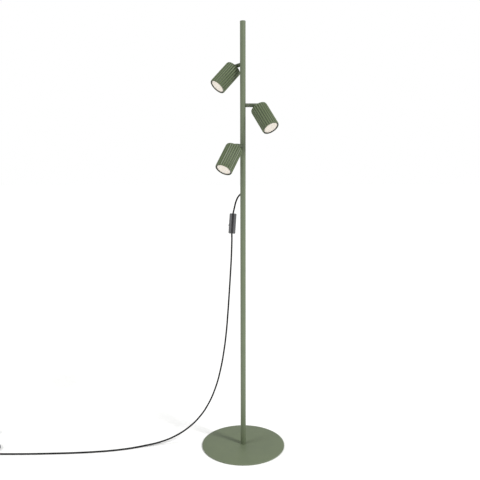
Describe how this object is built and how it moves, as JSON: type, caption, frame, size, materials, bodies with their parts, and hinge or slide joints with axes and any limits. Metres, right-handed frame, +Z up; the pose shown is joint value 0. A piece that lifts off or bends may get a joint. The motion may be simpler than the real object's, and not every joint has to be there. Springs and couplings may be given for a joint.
{
  "type": "floor lamp",
  "caption": "Slim floor lamp with a flat round base and ribbed spot heads that turn and tilt on short arms, mains cord with an in-line switch.",
  "frame": {"origin": "on the pole's axis at floor level, the centre of the base disc's underside", "axes": "+Z up along the pole, +X along the middle arm, +Y towards the back, where the cord leaves the pole"},
  "size_m": [1.1245, 0.3, 1.5],
  "materials": {
    "sage_steel": "matt sage powder coat on steel",
    "sage_aluminium": "matt sage powder coat on aluminium",
    "zinc_steel": "zinc plated",
    "black_rubber": "matt",
    "cord_pvc": "satin PVC sheath",
    "black_plastic": "fine texture",
    "grey_plastic": "satin",
    "white_plastic": "satin",
    "cream_diffuser": "frosted diffuser",
    "ceramic": "unglazed steatite",
    "wire_silicone": "silicone insulation",
    "brass_contact": "plain"
  },
  "bodies": {
    "stand": {"base_plate": "sage_steel", "base_pad": "black_rubber", "base_screw": "zinc_steel", "foot_plug": "zinc_steel", "lower_pole": "sage_steel", "pole_joiner": "zinc_steel", "upper_pole": "sage_steel", "pole_cap": "sage_steel", "arm_nuts": "zinc_steel", "arm_washers": "white_plastic", "terminal_block": "white_plastic", "pole_wires": "wire_silicone", "strain_relief": "black_rubber", "cord_upper": "cord_pvc", "cord_lower": "cord_pvc", "cord_coil": "cord_pvc", "cord_tail": "cord_pvc", "cord_tie": "black_plastic", "switch_core": "black_plastic", "switch_left_cover": "grey_plastic", "switch_right_cover": "grey_plastic", "switch_contacts": "brass_contact", "switch_screws": "zinc_steel", "plug_body": "black_plastic", "plug_pins": "zinc_steel", "top_stub": "sage_steel", "middle_stub": "sage_steel", "lower_stub": "sage_steel"},
    "top_arm": {"top_swivel_arm": "sage_steel", "top_set_screw": "zinc_steel", "top_pivot_screw": "zinc_steel"},
    "top_head": {"top_tilt_tongue": "sage_steel", "top_head_shell": "sage_aluminium", "top_holder_bracket": "zinc_steel", "top_lamp_holder": "ceramic", "top_lamp_body": "white_plastic", "top_lamp_lens": "cream_diffuser", "top_front_ring": "black_rubber"},
    "middle_arm": {"middle_swivel_arm": "sage_steel", "middle_set_screw": "zinc_steel", "middle_pivot_screw": "zinc_steel"},
    "middle_head": {"middle_tilt_tongue": "sage_steel", "middle_head_shell": "sage_aluminium", "middle_holder_bracket": "zinc_steel", "middle_lamp_holder": "ceramic", "middle_lamp_body": "white_plastic", "middle_lamp_lens": "cream_diffuser", "middle_front_ring": "black_rubber"},
    "lower_arm": {"lower_swivel_arm": "sage_steel", "lower_set_screw": "zinc_steel", "lower_pivot_screw": "zinc_steel"},
    "lower_head": {"lower_tilt_tongue": "sage_steel", "lower_head_shell": "sage_aluminium", "lower_holder_bracket": "zinc_steel", "lower_lamp_holder": "ceramic", "lower_lamp_body": "white_plastic", "lower_lamp_lens": "cream_diffuser", "lower_front_ring": "black_rubber"},
    "rocker": {"switch_rocker": "black_plastic"}
  },
  "joints": [
    {"name": "top_swivel", "type": "hinge", "parent": "stand", "child": "top_arm", "pos_m": [-0.0093, 0.01611, 1.36], "axis": [-0.5, 0.866, 0], "range_deg": [-214, 126]},
    {"name": "top_tilt", "type": "hinge", "parent": "top_arm", "child": "top_head", "pos_m": [-0.0245, 0.04244, 1.36], "axis": [-0.623, -0.3597, 0.6947], "range_deg": [-179, 1]},
    {"name": "middle_swivel", "type": "hinge", "parent": "stand", "child": "middle_arm", "pos_m": [0.0186, 0, 1.2225], "axis": [1, 0, 0], "range_deg": [-140, 200]},
    {"name": "middle_tilt", "type": "hinge", "parent": "middle_arm", "child": "middle_head", "pos_m": [0.049, 0, 1.2225], "axis": [0, 0.866, -0.5], "range_deg": [-154, 26]},
    {"name": "lower_swivel", "type": "hinge", "parent": "stand", "child": "lower_arm", "pos_m": [-0.0093, -0.01611, 1.085], "axis": [-0.5, -0.866, 0], "range_deg": [-163, 177]},
    {"name": "lower_tilt", "type": "hinge", "parent": "lower_arm", "child": "lower_head", "pos_m": [-0.0245, -0.04244, 1.085], "axis": [0.8596, -0.4963, -0.1219], "range_deg": [-143, 37]},
    {"name": "rocker_press", "type": "hinge", "parent": "stand", "child": "rocker", "pos_m": [-0.04768, 0.061, 0.81168], "axis": [0, 1, 0], "range_deg": [-10, 0]}
  ]
}
